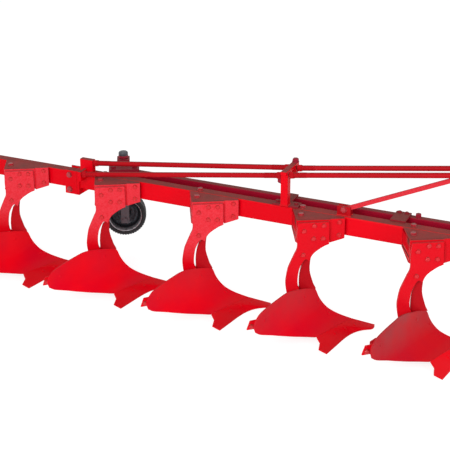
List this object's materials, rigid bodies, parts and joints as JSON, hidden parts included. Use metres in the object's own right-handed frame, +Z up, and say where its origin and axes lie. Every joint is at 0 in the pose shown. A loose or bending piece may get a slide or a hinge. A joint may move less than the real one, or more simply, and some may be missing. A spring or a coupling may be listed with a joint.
{
  "type": "mounted mouldboard plough",
  "caption": "Tractor-mounted mouldboard plough with slanting twin-beam frame, slotted legs, curved boards, pointed shares, stay rods, mast and a screw-set depth wheel.",
  "frame": {"origin": "centre of the footprint box, on the level that the shares and landsides stand on", "axes": "+X the way it travels, toward the tractor; +Y to the left of travel, toward unploughed land; +Z up"},
  "size_m": [3.7224, 2.3236, 1.3765],
  "materials": {
    "red_paint": "gloss enamel",
    "shaded_red_paint": "satin enamel",
    "dark_paint": "satin enamel",
    "bare_steel": "worn",
    "grey_steel": "machined",
    "zinc_plate": "zinc plated",
    "tyre_rubber": "matt"
  },
  "bodies": {
    "frame": {"bracket_1": "red_paint", "leg_1": "red_paint", "frog_1": "shaded_red_paint", "mouldboard_1": "red_paint", "share_1": "red_paint", "landside_1": "shaded_red_paint", "mouldboard_brace_1": "shaded_red_paint", "bracket_2": "red_paint", "leg_2": "red_paint", "frog_2": "shaded_red_paint", "mouldboard_2": "red_paint", "share_2": "red_paint", "landside_2": "shaded_red_paint", "mouldboard_brace_2": "shaded_red_paint", "bracket_3": "red_paint", "leg_3": "red_paint", "frog_3": "shaded_red_paint", "mouldboard_3": "red_paint", "share_3": "red_paint", "landside_3": "shaded_red_paint", "mouldboard_brace_3": "shaded_red_paint", "bracket_4": "red_paint", "leg_4": "red_paint", "frog_4": "shaded_red_paint", "mouldboard_4": "red_paint", "share_4": "red_paint", "landside_4": "shaded_red_paint", "mouldboard_brace_4": "shaded_red_paint", "bracket_5": "red_paint", "leg_5": "red_paint", "frog_5": "shaded_red_paint", "mouldboard_5": "red_paint", "share_5": "red_paint", "landside_5": "shaded_red_paint", "mouldboard_brace_5": "shaded_red_paint", "near_beam": "red_paint", "far_beam": "red_paint", "rear_beam": "red_paint", "front_cross_plate": "red_paint", "stay_post": "red_paint", "near_stay_rear": "shaded_red_paint", "near_stay_front": "shaded_red_paint", "far_stay_rear": "shaded_red_paint", "far_stay_front": "shaded_red_paint", "hitch_tube": "red_paint", "lower_link_pin_right": "zinc_plate", "lower_link_pin_left": "zinc_plate", "mast_bar_right": "red_paint", "mast_bar_left": "red_paint", "mast_head": "red_paint", "top_link_pin": "zinc_plate", "linch_pin_right": "zinc_plate", "linch_pin_left": "zinc_plate", "linch_pin_top": "zinc_plate", "mast_stay": "shaded_red_paint", "wheel_bracket": "dark_paint"},
    "spindle": {"depth_spindle": "grey_steel"},
    "wheel_carriage": {"wheel_post": "dark_paint"},
    "wheel": {"wheel_rim": "bare_steel", "wheel_tyre": "tyre_rubber"}
  },
  "joints": [
    {"name": "spindle_turn", "type": "hinge", "parent": "frame", "child": "spindle", "pos_m": [-0.67062, 0.85515, 0.81], "axis": [0, 0, 1], "range_deg": [-7205, 2525]},
    {"name": "wheel_height", "type": "slide", "parent": "frame", "child": "wheel_carriage", "axis": [0, 0, 1], "range_m": [-0.12, 0.042]},
    {"name": "wheel_spin", "type": "hinge", "parent": "wheel_carriage", "child": "wheel", "pos_m": [-0.67062, 0.96015, 0.3475], "axis": [0, 1, 0], "continuous": true}
  ],
  "couplings": [
    {"joint": "spindle_turn", "follows": "wheel_height", "rad_per_m": 1047.2}
  ]
}
